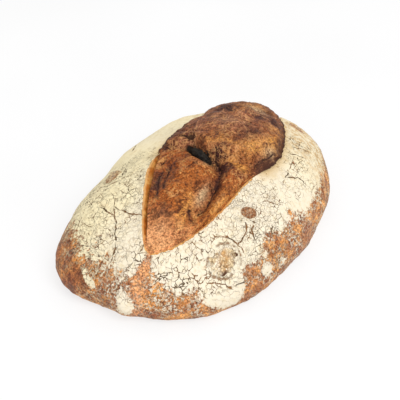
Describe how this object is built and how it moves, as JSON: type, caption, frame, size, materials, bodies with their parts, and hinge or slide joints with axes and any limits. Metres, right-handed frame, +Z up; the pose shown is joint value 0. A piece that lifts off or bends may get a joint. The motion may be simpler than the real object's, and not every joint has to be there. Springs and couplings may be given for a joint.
{
  "type": "walnut bread loaf",
  "caption": "Rustic oval walnut loaf with a floured, crackled crust, one long opened slash and walnut pieces that show at the surface.",
  "frame": {"origin": "on the flat underside, in the middle of the loaf's plan", "axes": "+X along the loaf, away from the pointed end of the slash; +Y across it, towards the side where the torn skin stands up as a broad strip; +Z up"},
  "size_m": [0.3052, 0.2028, 0.097],
  "materials": {
    "floured_crust": "baked crust under cream flour with fine cracks, bare and brown in the opened slash and round the foot",
    "walnut_skin": "toasted walnut skin",
    "floured_walnut": "walnut under a thin floured skin of crust",
    "charred_walnut": "charred walnut"
  },
  "bodies": {
    "root": {"loaf": "floured_crust", "walnut_shoulder": "walnut_skin", "walnut_side": "floured_walnut", "walnut_flank": "walnut_skin", "walnut_crown": "charred_walnut"}
  },
  "joints": []
}
